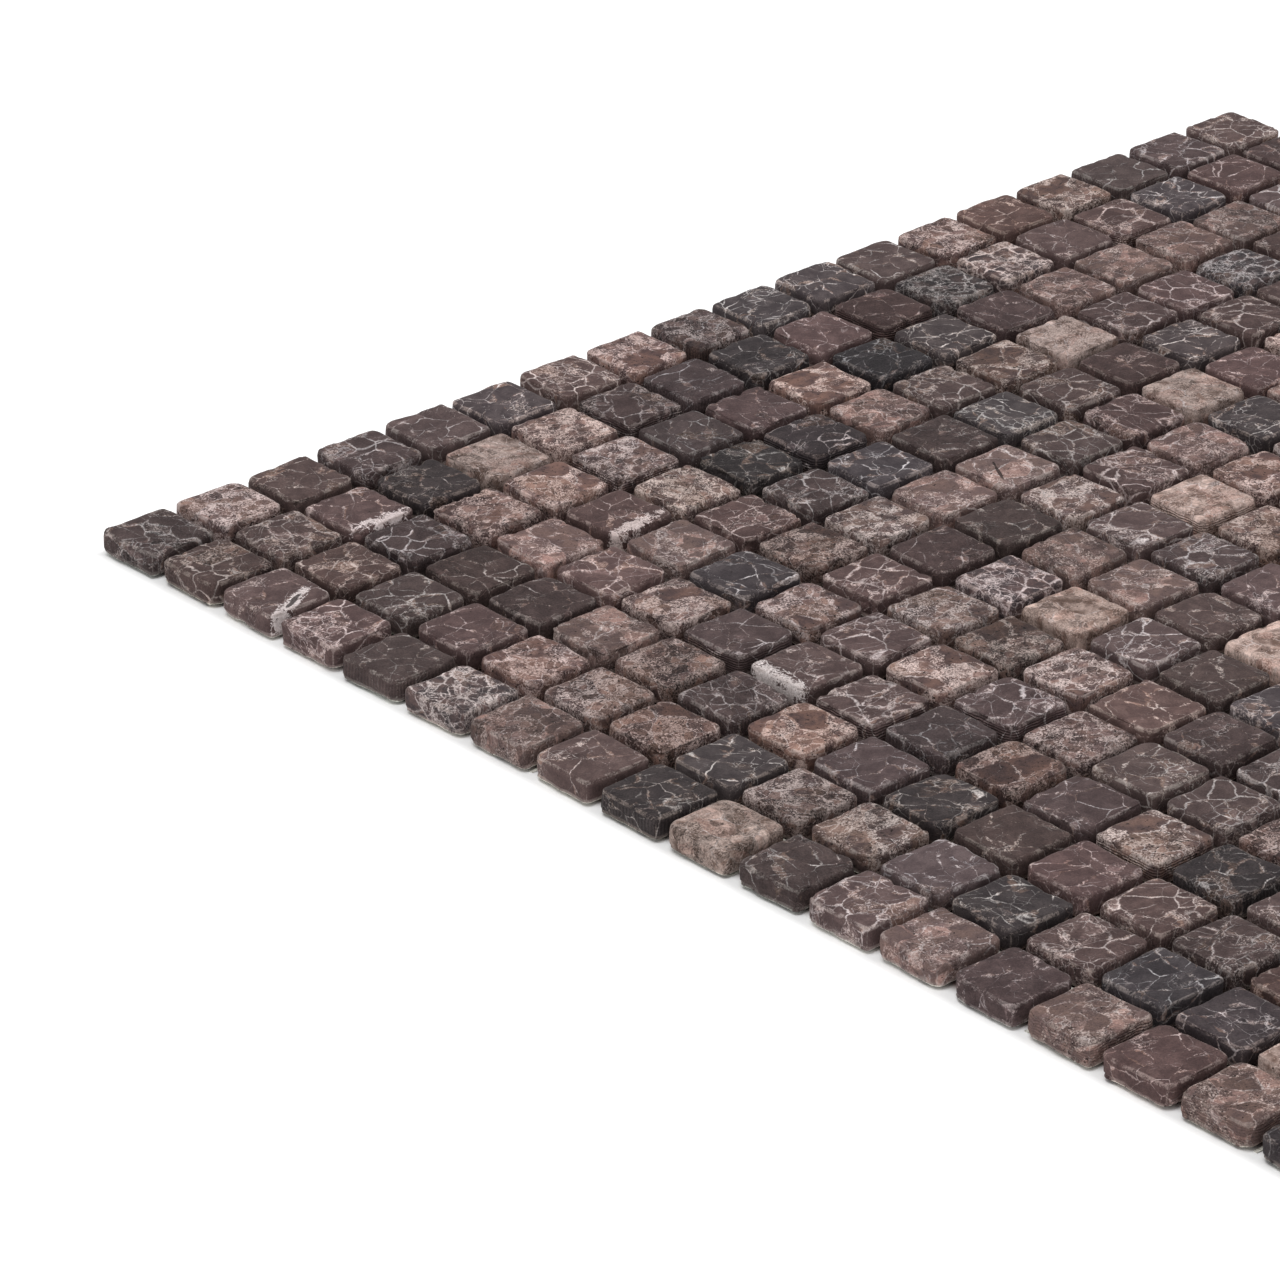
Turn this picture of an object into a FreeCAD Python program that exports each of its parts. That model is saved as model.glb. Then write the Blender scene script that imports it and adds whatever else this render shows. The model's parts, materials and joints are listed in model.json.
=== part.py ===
import FreeCAD, Part
import math
import os
import random

# A sheet of tumbled marble mosaic for floors and walls, lying face up.
# Square chips of stone stand in straight rows on a net of glass yarns glued across their backs.
# Each chip was sawn square and then tumbled: its upright corners are worn off by uneven amounts,
# the arris round its face is worn to a bevel, and it sits a little off its true place.
# Lengths are in millimetres. X runs along the rows and Y across them. The origin is the middle
# of the sheet, on the surface that it lies on.

# The sheet
ROWS = 18
COLUMNS = 18
JOINT = 1.8  # open joint between two chips that are true to size and place

# A chip as it is sawn
CHIP_SIDE = 15.2
CHIP_THICKNESS = 4.8
SIDE_SPREAD = 0.2  # the most by which one side is longer or shorter than that
THICKNESS_SPREAD = 0.2

# What tumbling wears off a chip
CORNER_WEAR = 1.3  # length that an upright corner takes off each of its two sides
CORNER_SPREAD = 0.45  # the most by which one corner is worn more or less than that
ARRIS_WEAR = 0.6  # width and height of the bevel round the face

# How far a chip may lie off its place, as shares of the joint
STRAY_SHARE = 0.11
SWING_SHARE = 0.12

# The net, in two layers of yarns laid across each other
YARN_PITCH = 10.0
YARN_WIDTH = 1.0
YARN_THICKNESS = 0.2
NET_SETBACK = 2.0  # from the outer faces of the outer chips to the cut edge of the net

# Worked out from the above
PITCH = CHIP_SIDE + JOINT
LENGTH_X = COLUMNS * PITCH - JOINT
LENGTH_Y = ROWS * PITCH - JOINT
NET_LENGTH_X = LENGTH_X - 2 * NET_SETBACK
NET_LENGTH_Y = LENGTH_Y - 2 * NET_SETBACK
NET_THICKNESS = 2 * YARN_THICKNESS

UP = FreeCAD.Vector(0, 0, 1)


def places(count, pitch):
    """The middles of count like things, pitch apart, about zero."""
    return [(n - (count - 1) / 2) * pitch for n in range(count)]


def worn_outline(length, width, wear):
    """A chip's plan about its own middle: a rectangle with each corner cut back by its own wear."""
    x, y = length / 2, width / 2
    right_back, left_back, left_front, right_front = wear
    corners = [
        (x, y - right_back),
        (x - right_back, y),
        (left_back - x, y),
        (-x, y - left_back),
        (-x, left_front - y),
        (left_front - x, -y),
        (x - right_front, -y),
        (x, right_front - y),
    ]
    points = [FreeCAD.Vector(px, py, NET_THICKNESS) for px, py in corners]
    return Part.Face(Part.makePolygon(points + points[:1]))


def chip(column, row):
    """One tumbled chip in its place, the same each time for the same column and row."""
    chance = random.Random(f"{column} {row}")
    length = CHIP_SIDE + chance.uniform(-SIDE_SPREAD, SIDE_SPREAD)
    width = CHIP_SIDE + chance.uniform(-SIDE_SPREAD, SIDE_SPREAD)
    thickness = CHIP_THICKNESS + chance.uniform(-THICKNESS_SPREAD, THICKNESS_SPREAD)
    wear = [CORNER_WEAR + chance.uniform(-CORNER_SPREAD, CORNER_SPREAD) for _ in range(4)]

    block = worn_outline(length, width, wear).extrude(UP * thickness)
    top = NET_THICKNESS + thickness
    face_edges = [e for e in block.Edges if math.isclose(e.BoundBox.ZMin, top, abs_tol=1e-3)]
    stone = block.makeChamfer(ARRIS_WEAR, face_edges)

    swing = math.degrees(SWING_SHARE * JOINT / (CHIP_SIDE / 2))
    stray = STRAY_SHARE * JOINT
    stone.rotate(FreeCAD.Vector(0, 0, 0), UP, chance.uniform(-swing, swing))
    x = places(COLUMNS, PITCH)[column] + chance.uniform(-stray, stray)
    y = places(ROWS, PITCH)[row] + chance.uniform(-stray, stray)
    stone.translate(FreeCAD.Vector(x, y, 0))
    return stone


def chip_row(row):
    """All the chips of one row, none touching the next."""
    return [chip(column, row) for column in range(COLUMNS)]


def yarn_places(net_width):
    """The middles of as many yarns as a net of that width holds."""
    count = 1 + math.floor((net_width - YARN_WIDTH) / YARN_PITCH)
    return places(count, YARN_PITCH)


def yarn(length_x, length_y, x, y, z):
    """One flat yarn about the point x, y, with its underside at z."""
    corner = FreeCAD.Vector(x - length_x / 2, y - length_y / 2, z)
    return Part.makeBox(length_x, length_y, YARN_THICKNESS, corner)


def warp_yarns():
    """The lower layer of the net, running along Y."""
    return [yarn(YARN_WIDTH, NET_LENGTH_Y, x, 0, 0) for x in yarn_places(NET_LENGTH_X)]


def weft_yarns():
    """The upper layer of the net, running along X, on which the chips sit."""
    return [yarn(NET_LENGTH_X, YARN_WIDTH, 0, y, YARN_THICKNESS) for y in yarn_places(NET_LENGTH_Y)]


def export(node, solids):
    Part.makeCompound(solids).exportStep(f"parts/{node}.step")


os.makedirs("parts", exist_ok=True)
export("net_warp", warp_yarns())
export("net_weft", weft_yarns())
for row in range(ROWS):
    export(f"stone_row_{row + 1:02d}", chip_row(row))
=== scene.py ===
import json
import math
import random
from types import SimpleNamespace

import bmesh
import bpy
from mathutils import Matrix, Vector

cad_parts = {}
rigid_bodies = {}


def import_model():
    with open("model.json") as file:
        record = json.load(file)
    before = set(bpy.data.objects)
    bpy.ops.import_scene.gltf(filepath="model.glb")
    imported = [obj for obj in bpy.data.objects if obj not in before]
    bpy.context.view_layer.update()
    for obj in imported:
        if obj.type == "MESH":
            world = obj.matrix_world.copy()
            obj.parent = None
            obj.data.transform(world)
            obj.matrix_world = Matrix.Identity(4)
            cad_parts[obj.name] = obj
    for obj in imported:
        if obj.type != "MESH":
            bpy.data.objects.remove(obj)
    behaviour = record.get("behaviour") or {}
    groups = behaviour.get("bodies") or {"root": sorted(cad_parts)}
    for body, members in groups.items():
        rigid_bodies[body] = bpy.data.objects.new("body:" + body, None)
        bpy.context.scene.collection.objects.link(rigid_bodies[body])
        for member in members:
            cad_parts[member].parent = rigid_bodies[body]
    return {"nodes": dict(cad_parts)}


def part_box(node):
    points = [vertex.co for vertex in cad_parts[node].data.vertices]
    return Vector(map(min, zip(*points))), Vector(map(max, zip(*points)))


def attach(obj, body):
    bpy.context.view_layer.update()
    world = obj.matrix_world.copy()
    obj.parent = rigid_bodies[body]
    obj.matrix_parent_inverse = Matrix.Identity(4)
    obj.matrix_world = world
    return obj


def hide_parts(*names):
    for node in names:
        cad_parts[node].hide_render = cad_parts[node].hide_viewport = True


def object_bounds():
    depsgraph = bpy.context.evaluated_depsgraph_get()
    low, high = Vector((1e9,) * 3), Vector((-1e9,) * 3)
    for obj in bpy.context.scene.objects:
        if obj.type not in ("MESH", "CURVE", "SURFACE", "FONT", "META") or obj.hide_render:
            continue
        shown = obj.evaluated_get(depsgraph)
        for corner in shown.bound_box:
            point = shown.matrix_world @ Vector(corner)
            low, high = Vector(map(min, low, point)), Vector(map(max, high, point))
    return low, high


bl_info = {
    "name": "Tumbled marble mosaic sheet",
    "version": (1, 0, 0),
    "blender": (4, 5, 0),
    "location": "View3D > Sidebar > Mosaic",
    "description": "Dresses a sheet of tumbled marble chips on its glass net",
    "category": "Object",
}

# The frame
for spare in list(bpy.data.objects):
    bpy.data.objects.remove(spare)
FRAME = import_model()
CAD_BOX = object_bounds()
NODES = FRAME["nodes"]
ROW_NODES = sorted(name for name in NODES if name.startswith("stone_row_"))
NET_NODES = ("net_warp", "net_weft")
SHEET_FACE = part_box(ROW_NODES[0])[1].z
MM = 0.001  # one millimetre, in the frame's metres
TINY = 1e-7  # a length that counts as nothing

# The kinds of marble, in the order of their numbers
KINDS = ("brown", "veined", "charcoal", "breccia", "netted", "beige", "patched", "russet")

# Where the stones of each kind lie that the photograph shows, as column,row from the near left corner.
# Every other stone of the sheet gets its kind by chance.
KNOWN_PLACES = {
    "brown": "0,2 0,4 0,11 0,13 0,15 1,7 1,9 1,10 1,13 2,6 2,7 2,11 3,2 4,0 4,1 4,2 4,8 4,11 6,3 6,6 6,7 "
    "7,0 9,2 9,3 9,7 10,0 10,5 10,6 11,1 11,2 11,4 11,5 12,2 13,0 15,0",
    "veined": "0,0 0,3 0,6 1,0 1,1 1,6 2,1 2,2 3,0 3,1 3,9 4,3 4,5 4,6 4,10 5,9 5,10 6,5 6,9 7,2 7,4 7,8 "
    "8,3 8,8 9,4 9,6 11,0 12,4 13,1 13,2 14,2",
    "charcoal": "0,5 0,9 0,10 1,3 1,8 1,15 2,9 2,10 3,6 3,7 4,7 4,9 5,4 6,11 8,0 8,1 10,2 11,6 12,1 13,3 "
    "14,1 15,1 17,0",
    "breccia": "0,1 0,7 0,8 0,12 0,14 1,5 2,3 2,4 2,5 2,8 3,5 3,10 5,1 5,3 5,5 5,6 6,1 6,2 6,4 6,8 7,1 7,5 "
    "8,2 8,4 8,5 9,1 9,5 10,1 10,3 10,4 12,3",
    "netted": "5,0 1,11 1,12 3,14 7,6",
    "beige": "1,4 5,11 3,11 7,9 8,6 9,0 10,7 16,1",
    "patched": "7,3 1,2 2,0 3,4",
    "russet": "2,12 2,14 3,3 3,8 4,4 5,2 5,7 5,8 6,0 6,10 7,7 8,7 12,0 14,0 16,0",
}
# Which of them are lighter or darker than most of their kind
LIGHT_FOR_THEIR_KIND = (
    "0,2 0,4 0,5 0,6 0,12 0,13 0,15 1,9 1,12 2,12 3,5 4,5 4,9 5,1 5,8 6,5 6,8 6,9 7,0 7,5 8,2 8,3 9,2 9,4 "
    "9,5 9,6 10,5 11,0 11,4 12,0 12,3"
)
DARK_FOR_THEIR_KIND = (
    "0,8 1,3 1,4 1,6 1,7 1,10 2,1 2,2 2,3 2,6 2,9 2,11 3,1 3,6 3,8 4,10 5,9 6,2 6,3 6,6 7,7 8,5 8,8 9,1 "
    "10,0 10,3 12,1 13,0 13,1 13,3"
)

# What single stones show, as an oval in the chip's own place: its middle, half length and half width
# in millimetres and its turn in degrees
BANDS = {
    (2, 0): (5.6, -1.5, 8, 1.6, -65),
    (3, 4): (5.8, -2, 9, 2.0, -84),
    (7, 3): (-1.2, -6.9, 9.8, 2.7, -3),
    (1, 2): (6.4, 0, 8, 1.9, 88),
}
# The cavities get the near-black pit colour, a painted shade inside them
CAVITIES = {
    (2, 0): (5.0, 0, 3.1, 0.6, -62),
    (5, 8): (0.6, -3.2, 4.5, 0.34, -32),
}
# Stones whose sides still show upright or level marks of the saw
SAWN_UPRIGHT = ((9, 3), (1, 7), (13, 3), (0, 8))
SAWN_LEVEL = ((14, 0), (16, 0))

# How common each kind is among the other stones
CHANCE_SHARES = {
    "brown": 30,
    "veined": 25,
    "charcoal": 16,
    "breccia": 17,
    "russet": 8,
    "netted": 4,
    "beige": 3,
    "patched": 2,
}


def seen_as(red, green, blue):
    """A colour as a screen shows it, 0 to 255, as the linear colour that a shader takes."""
    linear = []
    for value in (red, green, blue):
        part = value / 255
        linear.append(part / 12.92 if part <= 0.04045 else ((part + 0.055) / 1.055) ** 2.4)
    return tuple(linear)


# Settings that a user would change
def length(name, default, description):
    return bpy.props.FloatProperty(
        name=name, description=description, default=default, min=0, unit="LENGTH", precision=5
    )


def share(name, default, description):
    return bpy.props.FloatProperty(name=name, description=description, default=default, min=0, max=1)


def colour(name, default, description):
    return bpy.props.FloatVectorProperty(
        name=name, description=description, default=default, min=0, max=1, subtype="COLOR"
    )


def angle(name, degrees, description):
    return bpy.props.FloatProperty(
        name=name, description=description, default=math.radians(degrees), subtype="ANGLE"
    )


class ChipSettings(bpy.types.PropertyGroup):
    """The shape that tumbling gives to each chip."""

    lines_along: bpy.props.IntProperty(
        name="Lines along", description="Mesh lines across a chip's face, each way", default=20, min=4
    )
    lines_up: bpy.props.IntProperty(
        name="Lines up", description="Mesh lines from a chip's back to its face", default=7, min=3
    )
    corner_round: bpy.props.FloatProperty(
        name="Corner round",
        description="Radius of an upright corner, as a multiple of the wear that the frame gives it",
        default=1.5,
    )
    face_arris: length("Face arris", 0.95 * MM, "Radius of the worn edge round the face")
    back_arris: length("Back arris", 1.5 * MM, "Radius of the worn edge round the back")
    arris_spread: share("Arris spread", 0.45, "How much the radius of a worn edge changes along it")
    waviness: length("Waviness", 0.55 * MM, "The most that a chip's sides are worn hollow or left full")
    roughening: length("Roughening", 0.05 * MM, "Depth of the small dents in a chip")
    bite_depth: length("Bite depth", 0.7 * MM, "Depth of the pieces broken out of the worn edges")
    sawn_share: share("Sawn share", 0.1, "Share of the other chips whose sides show the marks of the saw")
    seed: bpy.props.IntProperty(name="Seed", description="Which chip gets which chance marks", default=7)


class MarbleSettings(bpy.types.PropertyGroup):
    """The colours of the stone, as they are seen."""

    brown: colour("Brown", seen_as(74, 59, 58), "Plain brown stone")
    brown_cloud: colour("Brown cloud", seen_as(93, 76, 74), "Paler clouds in the brown stone")
    charcoal: colour("Charcoal", seen_as(57, 50, 52), "The darkest stone")
    charcoal_cloud: colour("Charcoal cloud", seen_as(76, 68, 69), "Paler clouds in the darkest stone")
    tan: colour("Tan", seen_as(186, 168, 163), "Pale ground between the broken pieces of stone")
    rust: colour("Rust", seen_as(134, 106, 92), "Rusty spots in the pale ground")
    rose: colour("Rose", seen_as(168, 132, 122), "Iron stain in the beige stone")
    beige: colour("Beige", seen_as(179, 158, 150), "The palest stone")
    beige_cloud: colour("Beige cloud", seen_as(103, 83, 75), "Darker clouds in the palest stone")
    vein: colour("Vein", seen_as(187, 175, 173), "Calcite veins in brown stone")
    white: colour("White", seen_as(204, 196, 195), "Calcite veins in charcoal stone, and patches")
    russet: colour("Russet", seen_as(104, 81, 74), "Rusty brown clouds in the broken stone")
    fawn: colour("Fawn", seen_as(113, 92, 86), "Clouds in the warm brown stone")
    dust: colour("Dust", seen_as(158, 144, 139), "Bruised stone on the worn edges")
    # painted shade: the near-black inside of the pits and cavities stands in for the shade in them
    pit_painted_shade: colour("Pit shade", seen_as(38, 30, 28), "The inside of a small hole")
    glue: colour("Glue", seen_as(214, 210, 200), "The film of glue on the back of a chip")


class NetSettings(bpy.types.PropertyGroup):
    """The glass net across the backs of the chips."""

    step: length("Step", 3.0 * MM, "Length of one straight piece of a yarn")
    sway: length("Sway", 0.12 * MM, "How far a yarn strays to each side")
    sides: bpy.props.IntProperty(name="Sides", description="Sides of a yarn's section", default=6, min=3)
    yarn: colour("Yarn", seen_as(226, 224, 216), "Glass fibre with its white binder")
    # painted shade: the darker colour of the furrows stands in for the shade in them
    shaded_furrow: colour("Shaded furrow", seen_as(176, 172, 160), "The furrows between the filaments of a yarn")


class StageSettings(bpy.types.PropertyGroup):
    """The camera, the floor and the light."""

    aim: bpy.props.FloatVectorProperty(
        name="Aim",
        description="The point of the sheet's face in the middle of the picture",
        default=(-0.05202, -0.10901, SHEET_FACE - 0.14 * MM),
        subtype="TRANSLATION",
    )
    distance: length("Distance", 1.1699, "From the camera to the point that it aims at")
    azimuth: angle("Azimuth", 47.48, "Direction of the camera, turned from -Y towards +X")
    elevation: angle("Elevation", 26.88, "Height of the camera over the level of the sheet")
    roll: angle("Roll", 0.18, "Turn of the camera about its own line of sight")
    focal_length: bpy.props.FloatProperty(name="Focal length", description="In millimetres", default=184.91)
    floor_size: length("Floor size", 12.0, "Side of the square floor")
    floor_colour: colour("Floor", (0.92, 0.92, 0.92), "The white floor")
    # painted shade: the floor under the sheet is coloured dark, for the shade that falls between the chips
    floor_painted_shade: colour("Floor painted shade", (0.2, 0.15, 0.14), "The floor in the shade under the sheet")
    floor_lift: share("Floor lift", 0.35, "Extra white that only the camera sees on the open floor")
    sky: share("Sky", 0.52, "Strength of the light from all sides")
    key: bpy.props.FloatProperty(
        name="Key", description="Power of the large soft lamp", default=23, unit="POWER"
    )


# Node trees
class Value:
    """A number that nodes work out. Arithmetic on it adds Math nodes to its tree."""

    def __init__(self, tree, socket):
        self.tree = tree
        self.socket = socket

    def work(self, operation, *others):
        node = self.tree.nodes.new("ShaderNodeMath")
        node.operation = operation
        for socket, value in zip(node.inputs, (self, *others)):
            feed(self.tree, socket, value)
        return Value(self.tree, node.outputs[0])

    def __add__(self, other):
        return self.work("ADD", other)

    def __radd__(self, other):
        return self.work("ADD", other)

    def __sub__(self, other):
        return self.work("SUBTRACT", other)

    def __rsub__(self, other):
        return (self * -1) + other

    def __mul__(self, other):
        return self.work("MULTIPLY", other)

    def __truediv__(self, other):
        return self.work("DIVIDE", other)

    def __rtruediv__(self, other):
        return (self ** -1) * other

    def __pow__(self, other):
        return self.work("POWER", other)

    def at_least(self, other):
        return self.work("MAXIMUM", other)

    def at_most(self, other):
        return self.work("MINIMUM", other)

    def size(self):
        return self.work("ABSOLUTE")

    def sign(self):
        return self.work("SIGN")

    def is_over(self, other):
        return self.work("GREATER_THAN", other)

    def choose(self, if_one, if_zero):
        """if_one where this is 1, if_zero where it is 0."""
        return (if_one - if_zero) * self + if_zero

    def ramp(self, low, high):
        """0 below low, 1 above high, and smooth between them."""
        node = self.tree.nodes.new("ShaderNodeMapRange")
        node.interpolation_type = "SMOOTHSTEP"
        for name, value in (("Value", self), ("From Min", low), ("From Max", high)):
            feed(self.tree, node.inputs[name], value)
        return Value(self.tree, node.outputs["Result"])


def feed(tree, socket, value):
    """Links a socket to another one, or sets its value."""
    if isinstance(value, Value):
        tree.links.new(value.socket, socket)
    elif isinstance(value, bpy.types.NodeSocket):
        tree.links.new(value, socket)
    else:
        socket.default_value = value


def add(tree, kind, inputs=None, **settings):
    """A new node with its settings and its inputs, which go by name or number."""
    node = tree.nodes.new(kind)
    for name, value in settings.items():
        setattr(node, name, value)
    for name, value in (inputs or {}).items():
        feed(tree, node.inputs[name], value)
    return node


# The sockets of a Mix node that are for colours, by number because its kinds of data share their names
MIX_FACTOR, MIX_A, MIX_B = 0, 6, 7
MIX_RESULT = 2


def between(tree, part_of_b, a, b):
    """The mix of two colours."""
    node = add(tree, "ShaderNodeMix", {MIX_FACTOR: part_of_b}, data_type="RGBA")
    feed(tree, node.inputs[MIX_A], a)
    feed(tree, node.inputs[MIX_B], b)
    return node.outputs[MIX_RESULT]


def vector_work(tree, operation, a, b=None, scale=None):
    node = add(tree, "ShaderNodeVectorMath", {0: a}, operation=operation)
    if b is not None:
        feed(tree, node.inputs[1], b)
    if scale is not None:
        feed(tree, node.inputs["Scale"], scale)
    return node.outputs[0]


def parts_of(tree, vector):
    node = add(tree, "ShaderNodeSeparateXYZ", {0: vector})
    return [Value(tree, socket) for socket in node.outputs]


def vector_of(tree, x, y, z):
    return add(tree, "ShaderNodeCombineXYZ", {0: x, 1: y, 2: z}).outputs[0]


SOCKETS = {
    "number": "NodeSocketFloat",
    "whole": "NodeSocketInt",
    "vector": "NodeSocketVector",
    "colour": "NodeSocketColor",
    "geometry": "NodeSocketGeometry",
    "material": "NodeSocketMaterial",
}


def new_tree(name, kind, inputs, outputs):
    """An empty node group, what its inputs give by name, and its output node."""
    tree = bpy.data.node_groups.new(name, kind)
    for label, socket_kind in inputs.items():
        tree.interface.new_socket(label, in_out="INPUT", socket_type=SOCKETS[socket_kind])
    for label, socket_kind in outputs.items():
        tree.interface.new_socket(label, in_out="OUTPUT", socket_type=SOCKETS[socket_kind])
    entry = tree.nodes.new("NodeGroupInput")
    end = tree.nodes.new("NodeGroupOutput")
    given = {}
    for label, socket_kind in inputs.items():
        socket = entry.outputs[label]
        given[label] = Value(tree, socket) if socket_kind in ("number", "whole") else socket
    return tree, given, end


def place_group(tree, group, inputs):
    """A shader node group placed in a tree with its own values."""
    node = tree.nodes.new("ShaderNodeGroup")
    node.node_tree = group
    for name, value in inputs.items():
        feed(tree, node.inputs[name], value)
    return node


def output(node, name):
    return Value(node.id_data, node.outputs[name])


# The tree that shapes the chips
CROWDING_ACROSS = 1.7  # how strongly the mesh lines crowd towards a chip's sides
CROWDING_UP = 1.4  # and towards its face and its back
ARRIS_LUMP = 3.2 * MM  # the stretch over which the wear of an arris changes
HOLLOW_LUMP = 5.5 * MM
DENT_LUMP = 1.3 * MM
BITE_LUMP = 2.4 * MM
SIDE_DEPTH = 0.4 * MM  # how far in from a side its marks fade out
BACK_FROM = (-0.999, -0.9)  # the back of a blank, whose height goes from -1 to 1, and where it ends
ARRIS_LIMIT = 0.9  # the most that an arris takes of the corner that it meets
FULL_FROM = 0.61  # the noise over which a side is left full
BITE_FROM = (0.54, 0.7)  # the noise at which a bite sets in, and at which it is whole
QUARRY_SCALE = (1 / MM, 1 / MM, 1.2 / MM)  # from metres of the chip to millimetres of stone


def stored(tree, name, kind="FLOAT"):
    """A named attribute of the geometry."""
    node = add(tree, "GeometryNodeInputNamedAttribute", {"Name": name}, data_type=kind)
    socket = node.outputs["Attribute"]
    return Value(tree, socket) if kind == "FLOAT" else socket


def store(tree, geometry, name, value, kind="FLOAT"):
    inputs = {"Geometry": geometry, "Name": name, "Value": value}
    node = add(tree, "GeometryNodeStoreNamedAttribute", inputs, data_type=kind, domain="POINT")
    return node.outputs["Geometry"]


def move_to(tree, geometry, position):
    node = add(tree, "GeometryNodeSetPosition", {"Geometry": geometry, "Position": position})
    return node.outputs["Geometry"]


def move_by(tree, geometry, offset):
    node = add(tree, "GeometryNodeSetPosition", {"Geometry": geometry, "Offset": offset})
    return node.outputs["Geometry"]


def rotated(tree, vector, way, **turn):
    node = add(tree, "ShaderNodeVectorRotate", {"Vector": vector, **turn}, rotation_type=way)
    return node.outputs[0]


def crowded(value, power):
    """Moves a mesh line, from -1 to 1, towards the nearer end."""
    return value.sign() * (1 - (1 - value.size()).at_least(0) ** power)


def diagonal(a, b):
    """The length of the diagonal of two lengths, never zero."""
    return ((a ** 2 + b ** 2) ** 0.5).at_least(TINY)


def lumps(tree, place, size, chance, detail=1.0):
    """Noise from 0 to 1 with lumps of that size, which differ for each chance."""
    inputs = {"Vector": place, "W": chance, "Scale": 1 / size, "Detail": detail}
    node = add(tree, "ShaderNodeTexNoise", inputs, noise_dimensions="4D")
    return Value(tree, node.outputs[0])


def blanks(tree, given):
    """A blank of mesh lines at every point, with the sizes and marks that the point carries."""
    lines = given["Lines along"]
    counts = {"Size": (2, 2, 2), "Vertices X": lines, "Vertices Y": lines, "Vertices Z": given["Lines up"]}
    cube = add(tree, "GeometryNodeMeshCube", counts).outputs["Mesh"]
    position = add(tree, "GeometryNodeInputPosition").outputs[0]
    blank = store(tree, cube, "blank", position, "FLOAT_VECTOR")
    places = {"Points": given["Geometry"], "Instance": blank}
    instances = add(tree, "GeometryNodeInstanceOnPoints", places).outputs[0]
    return add(tree, "GeometryNodeRealizeInstances", {0: instances}).outputs[0]


def corner_wear(tree, right, rear):
    """The wear of the upright corner that a point is nearest to, as the frame has it."""
    rear_wear = right.choose(stored(tree, "wear_right_rear"), stored(tree, "wear_left_rear"))
    front_wear = right.choose(stored(tree, "wear_right_front"), stored(tree, "wear_left_front"))
    return rear.choose(rear_wear, front_wear)


def tumbled(tree, given, chips):
    """The blanks, with their rounded shape, their wear and their place in the quarry as attributes."""
    u, v, w = parts_of(tree, stored(tree, "blank", "FLOAT_VECTOR"))
    half_x, half_y, half_z = parts_of(tree, stored(tree, "half_size", "FLOAT_VECTOR"))
    sawn_x = crowded(u, CROWDING_ACROSS) * half_x
    sawn_y = crowded(v, CROWDING_ACROSS) * half_y
    sawn_z = crowded(w, CROWDING_UP) * half_z
    sawn = vector_of(tree, sawn_x, sawn_y, sawn_z)
    x, y, z = sawn_x.size(), sawn_y.size(), sawn_z.size()

    # The upright corners, each rounded by its own wear
    corner = corner_wear(tree, u.is_over(0), v.is_over(0)) * given["Corner round"]
    over_x = (x - (half_x - corner)).at_least(0)
    over_y = (y - (half_y - corner)).at_least(0)
    reach = over_x.at_least(over_y)
    spread = diagonal(over_x, over_y)
    inset = corner - reach
    depth = half_z - z

    # The arrises round the face and the back, always smaller than the corner that they meet. The noise
    # seldom leaves its middle third, so three times its swing is the whole spread.
    uneven = 1 + (lumps(tree, sawn, ARRIS_LUMP, stored(tree, "chance")) - 0.5) * 3 * given["Arris spread"]
    arris = w.is_over(0).choose(given["Face arris"], given["Back arris"]) * uneven
    arris = arris.at_most(corner * ARRIS_LIMIT)
    over_in = (arris - inset).at_least(0)
    over_up = (arris - depth).at_least(0)
    pull = 1 - over_in.at_least(over_up) / diagonal(over_in, over_up)
    pull = pull * (over_in.at_most(over_up).is_over(0))
    round_reach = reach - over_in * pull
    round_x = x.at_most(half_x - corner) + over_x * round_reach / spread
    round_y = y.at_most(half_y - corner) + over_y * round_reach / spread
    round_z = z - over_up * pull
    shape = vector_of(tree, u.sign() * round_x, v.sign() * round_y, w.sign() * round_z)

    # Where a chip is worn, and which way its faces look
    near_edge = (1 - inset / (arris * 2)).at_least(0) * (1 - depth / (arris * 2)).at_least(0)
    near_corner = over_x.at_most(over_y) / corner
    worn = (near_edge * 1.4).at_least(near_corner).at_most(1)
    chips = store(tree, chips, "worn", worn)
    chips = store(tree, chips, "side", 1 - inset.ramp(0, SIDE_DEPTH))
    chips = store(tree, chips, "back", 1 - w.ramp(*BACK_FROM))

    # The place of each point in the block that the chip was sawn from, in millimetres
    turned = rotated(tree, shape, "EULER_XYZ", Rotation=stored(tree, "quarry_turn", "FLOAT_VECTOR"))
    in_mm = vector_work(tree, "MULTIPLY", turned, QUARRY_SCALE)
    quarry = vector_work(tree, "ADD", in_mm, stored(tree, "quarry_place", "FLOAT_VECTOR"))
    chips = store(tree, chips, "quarry", quarry, "FLOAT_VECTOR")
    return store(tree, chips, "shape", shape, "FLOAT_VECTOR")


def worn_hollow(tree, given, chips):
    """The chips with hollows, dents and bites worn into them, but not into their backs."""
    chance = stored(tree, "chance")
    shape = stored(tree, "shape", "FLOAT_VECTOR")
    worn = stored(tree, "worn")
    # A side is left full only where its noise is high, and the face hardly wears hollow
    wave = (FULL_FROM - lumps(tree, shape, HOLLOW_LUMP, chance + 3)) * 2 * given["Waviness"]
    hollows = stored(tree, "side").at_least(worn * 0.5).choose(wave, wave.at_least(0) * 0.25)
    dents = (lumps(tree, shape, DENT_LUMP, chance + 5, detail=2.0) - 0.3).at_least(0)
    dents = dents * given["Roughening"] * 2.5
    ragged = stored(tree, "ragged") * 1.3 + 0.15
    bitten = lumps(tree, shape, BITE_LUMP, chance + 9).ramp(*BITE_FROM)
    bites = bitten * worn * ragged * given["Bite depth"]
    outwards = (hollows + dents * (0.6 + worn) + bites) * (stored(tree, "back") - 1)
    normal = add(tree, "GeometryNodeInputNormal").outputs[0]
    return move_by(tree, chips, vector_work(tree, "SCALE", normal, scale=outwards))


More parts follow.
